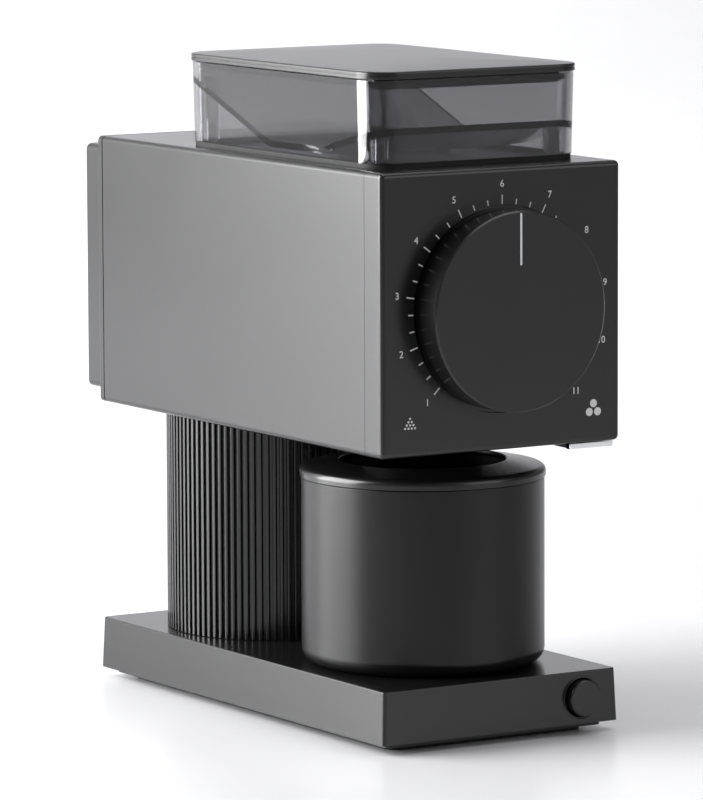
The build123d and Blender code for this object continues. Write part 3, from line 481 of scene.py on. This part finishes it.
for number in range(1, number_count + 1):
    text = bpy.data.curves.new("number", "FONT")
    text.body = str(number)
    text.size = number_size
    text.align_x = "CENTER"
    text.align_y = "CENTER"
    text.offset = 0.02 * mm
    text.extrude = (ink_back - ink_front) / 2
    holder = bpy.data.objects.new("number", text)
    angle = (number - middle_number) * number_step
    number_x = dial_middle.x + number_radius * math.sin(angle)
    number_z = dial_middle.z + number_radius * math.cos(angle)
    letters = bpy.data.meshes.new_from_object(holder)
    upright = Matrix.Translation((number_x, (ink_front + ink_back) / 2, number_z))
    letters.transform(upright @ Matrix.Rotation(math.pi / 2, 4, "X"))
    start = len(ink_points)
    ink_points.extend(vertex.co.copy() for vertex in letters.vertices)
    ink_faces.extend([start + v for v in face.vertices] for face in letters.polygons)
    bpy.data.objects.remove(holder)
    bpy.data.meshes.remove(letters)
    bpy.data.curves.remove(text)
scale_print = mesh_piece("scale_print", ink_points, ink_faces, ink)
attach(scale_print, "root")


# ------------------------------------------------------------------ motor
# A brushed mains motor: a plated steel can, ferrite magnets, a copper-wound armature and
# commutator, carbon brushes in a cast end bell, and a nylon fan that blows out at the back.
cast_aluminium = finish_of("die_cast_aluminium", ("#9b9da0", "#a9abae"), 10.0, 0.9, 0.02,
                           {"Roughness": 0.46, "Metallic": 1.0}, rough_swing=0.07)
graphite = finish_of("pressed_graphite", ("#161616", "#222222"), 2.0, 0.2, 0.01,
                     {"Roughness": 0.5, "IOR": 1.6})
copper = finish_of("enamelled_copper_wire", ("#a85a30", "#c07544"), 5.0, 0.6, 0.1,
                   {"Roughness": 0.3, "Metallic": 1.0, "Coat Weight": 0.6})
tree = copper.node_tree
place = add_node(tree, "ShaderNodeTexCoord").outputs["Object"]
# The winding's turns run along the motor, 0.8 mm apart.
wires = add_node(tree, "ShaderNodeTexWave", {"bands_direction": "X", "Scale": 0.314 / (0.8 * mm),
                                             "Distortion": 0.6}, {"Vector": place})
wire_bump = add_node(tree, "ShaderNodeBump", {"Distance": 0.2 * mm}, {"Height": wires.outputs["Fac"]})
tree.links.new(wire_bump.outputs["Normal"], tree.nodes["Principled BSDF"].inputs["Normal"])

coat(zinc_steel, "motor_can", "motor_screws", "front_bearing", "rear_bearing")
coat(cast_aluminium, "motor_mount", "motor_end_bell")
coat(copper, "armature", "commutator")
coat(graphite, "motor_brushes")
coat(nylon, "cooling_fan")


# ------------------------------------------------------------------ burrs
# Two ground steel burrs face each other in a cast chamber: one turns with the shaft and the
# auger, one is set by the dial's ring. Grinding leaves rings 0.5 mm apart about the shaft.
burr_steel = finish_of("ground_tool_steel", ("#8d9094", "#a0a3a6"), 6.0, 0.2, 0.004,
                       {"Roughness": 0.24, "Metallic": 1.0}, rough_swing=0.06)
tree = burr_steel.node_tree
place = add_node(tree, "ShaderNodeTexCoord").outputs["Object"]
about_shaft = add_node(tree, "ShaderNodeMapping", {"Location": (0, 0, -dial_middle.z)}, {"Vector": place})
rings_cut = add_node(tree, "ShaderNodeTexWave", {"wave_type": "RINGS", "rings_direction": "Y",
                                                 "Scale": 0.314 / (0.5 * mm)},
                     {"Vector": about_shaft.outputs[0]})
ring_bump = add_node(tree, "ShaderNodeBump", {"Distance": 0.01 * mm}, {"Height": rings_cut.outputs["Fac"]})
tree.links.new(ring_bump.outputs["Normal"], tree.nodes["Principled BSDF"].inputs["Normal"])

coat(burr_steel, "outer_burr", "inner_burr", "auger")
coat(cast_aluminium, "burr_chamber", "outer_burr_carrier", "inner_burr_carrier", "adjusting_ring")
coat(zinc_steel, "outer_burr_screws", "inner_burr_screws", "drive_shaft", "shaft_bolt",
     "detent_plunger", "detent_spring")


# ------------------------------------------------------------------ dial and its pointer
# A deep moulded ABS knob with a small chamfer, and a bright anodised bar pressed into its
# face. The bar's ends are round, as the cutter leaves its slot.
coat(abs_plastic, "dial_knob")

bright_bar = finish_of("bright_anodised_bar", ("#d6d7d8", "#e2e3e4"), 3.0, 0.2, 0.002,
                       {"Roughness": 0.35, "Metallic": 0.2, "IOR": 1.5})
low, high, middle = box_of("dial_pointer")
bar_half = (high.x - low.x) / 2
bar_rings = []
for inset, depth in ((0.0, high.y), (0.0, low.y + 0.1 * mm), (0.08 * mm, low.y)):
    outline = rounded_frame(bar_half, middle.z - low.z, bar_half, inset)
    bar_rings.append([(middle.x + x, depth, middle.z + z) for x, z in outline])
skinned("pointer_bar", bar_rings, bright_bar, "dial_pointer", "silver_inlay", "dial", closed=False)


# ------------------------------------------------------------------ chute and knocker
# Black nylon chute and collar under the housing, and a sprung lever that taps the chute. The
# lever's finger tab is chrome-plated steel, polished to a near mirror.
chrome = finish_of("chrome_plated_steel", ("#dddee0", "#e6e7e9"), 8.0, 0.4, 0.001,
                   {"Roughness": 0.1, "Metallic": 1.0}, rough_swing=0.03)
coat(nylon, "chute", "chute_ring", "knocker_lever")
coat(zinc_steel, "knocker_pin", "knocker_spring", "button_spring")

low, high, middle = box_of("knocker_tab")
tab_cut = 1.2 * mm
tab_outline = softened([
    (low.x, low.y, 0.3 * mm), (high.x - tab_cut, low.y, 0.3 * mm),
    (high.x, low.y + tab_cut, 0.3 * mm), (high.x, high.y, 0.3 * mm), (low.x, high.y, 0.3 * mm)])
tab_middle = Vector((middle.x, middle.y))
tab_rings = []
for scale, height in ((0.99, low.z), (1.0, low.z + 0.15 * mm), (1.0, high.z - 0.15 * mm), (0.99, high.z)):
    ring = [tab_middle + (point - tab_middle) * scale for point in tab_outline]
    tab_rings.append([(point.x, point.y, height) for point in ring])
skinned("finger_tab", tab_rings, chrome, "knocker_tab", "chrome", "knocker", closed=False)


# ------------------------------------------------------------------ hopper
# A smoke-tinted styrene bin with a funnel floor, moulded in one piece and polished clear. It
# screws up from inside the housing through a rubber gasket.
smoke = finish_of("polished_smoke_styrene", ("#a6a6a9", "#adadb0"), 60.0, 25.0, 0.002,
                  {"Roughness": 0.03, "IOR": 1.57, "Transmission Weight": 1.0}, rough_swing=0.01)
coat(smoke, "hopper")
coat(silicone, "hopper_gasket")
coat(zinc_steel, "hopper_screws")


# ------------------------------------------------------------------ hopper lid
# A moulded ABS lid, slightly crowned, with a shadow groove round its edge and a skirt that
# carries a silicone seal inside the bin's wall.
low, high, middle = box_of("hopper_lid")
lid_half_x = middle.x - low.x
lid_half_y = middle.y - low.y
lid_corner = 12.7 * mm
skirt_depth = 4.0 * mm
edge_low = low.z + skirt_depth
crown = 1.2 * mm
edge_high = high.z - crown - 0.15 * mm
groove_z = edge_low + 1.25 * mm
groove_top = groove_z + 0.45 * mm
groove_depth = 0.4 * mm
rim_inset = 1.4 * mm
rim_high = edge_high + 0.15 * mm
skirt_out = lid_half_x - box_of("lid_seal")[1].x + 2.1 * mm
skirt_in = skirt_out + 2.0 * mm
lid_profile = softened([
    (skirt_in, edge_low - 0.05 * mm, 0), (skirt_in, low.z, 0.3 * mm), (skirt_out, low.z, 0.3 * mm),
    (skirt_out, edge_low, 0), (0, edge_low, 0.3 * mm), (0, groove_z, 0.08 * mm),
    (groove_depth, groove_z, 0), (groove_depth, groove_top, 0), (0, groove_top, 0.08 * mm),
    (0, edge_high, 0.7 * mm), (rim_inset, rim_high, 0)], steps=4)
top_steps = 14
for step in range(1, top_steps + 1):
    share = step / top_steps
    inset = rim_inset + share * (lid_half_x - rim_inset - 1.0 * mm)
    lid_profile.append((inset, rim_high + crown * (1 - (1 - share) ** 2)))
framed("lid_shell", lid_profile, middle, lid_half_x, lid_half_y, lid_corner,
       abs_plastic, "hopper_lid", "dark_plastic", "lid", closed=False)

low, high, middle = box_of("lid_seal")
seal_width = 2.1 * mm
seal_profile = softened([
    (0.3 * mm, low.z, 0.2 * mm), (0, (low.z + high.z) / 2, 0.3 * mm), (0.3 * mm, high.z, 0.2 * mm),
    (seal_width, high.z, 0), (seal_width, low.z, 0)])
framed("seal_ring", seal_profile, middle, middle.x - low.x, middle.y - low.y, 9.1 * mm,
       silicone, "lid_seal", "rubber", "lid")


# ------------------------------------------------------------------ catch cup
# A deep-drawn aluminium cup with a satin black coat, a little more matt than the housing's,
# standing on the base over hidden magnets. Its moulded ABS lid slopes up to a wide mouth.
cup_coat = finish_of("satin_black_cup_coat", ("#0c0c0d", "#101011"), 25.0, 0.6, 0.0015,
                     {"Roughness": 0.31, "IOR": 1.4}, rough_swing=0.02)
low, high, middle = box_of("cup")
cup_radius = middle.x - low.x
cup_wall = 1.5 * mm
cup_floor = 4.0 * mm
cup_corner = 6.0 * mm
cup_profile = softened([
    (0, low.z + 0.4 * mm, 0), (cup_radius - 9 * mm, low.z + 0.4 * mm, 0),
    (cup_radius - 8.2 * mm, low.z, 0.3 * mm), (cup_radius, low.z, cup_corner),
    (cup_radius, high.z, 0.4 * mm), (cup_radius - cup_wall, high.z, 0.4 * mm),
    (cup_radius - cup_wall, low.z + cup_floor, cup_corner - cup_wall), (0, low.z + cup_floor, 0)],
    steps=10)
turned("cup_shell", cup_profile, middle, "Z", cup_coat, "cup", "black_coated_cup", "cup",
       segments=256)

low, high, middle = box_of("cup_lid")
lid_radius = middle.x - low.x
lid_mouth = cup_radius - 14.5 * mm
lid_wall = 1.5 * mm
rim_low = box_of("cup")[1].z + 0.15 * mm
eaves = high.z - (lid_radius - lid_mouth) * math.tan(math.radians(10))
lid_skirt = cup_radius - cup_wall - 0.25 * mm
cup_lid_profile = softened([
    (lid_radius, rim_low, 0.25 * mm), (lid_radius, eaves, 2.6 * mm), (lid_mouth, high.z, 0.5 * mm),
    (lid_mouth, high.z - lid_wall, 0.3 * mm), (lid_skirt - 2 * mm, eaves - lid_wall + 0.5 * mm, 1 * mm),
    (lid_skirt - 2 * mm, low.z, 0.3 * mm), (lid_skirt, low.z, 0.3 * mm), (lid_skirt, rim_low, 0)],
    steps=8)
turned("cup_lid_shell", cup_lid_profile, middle, "Z", abs_plastic, "cup_lid", "dark_plastic",
       "cup", segments=256)
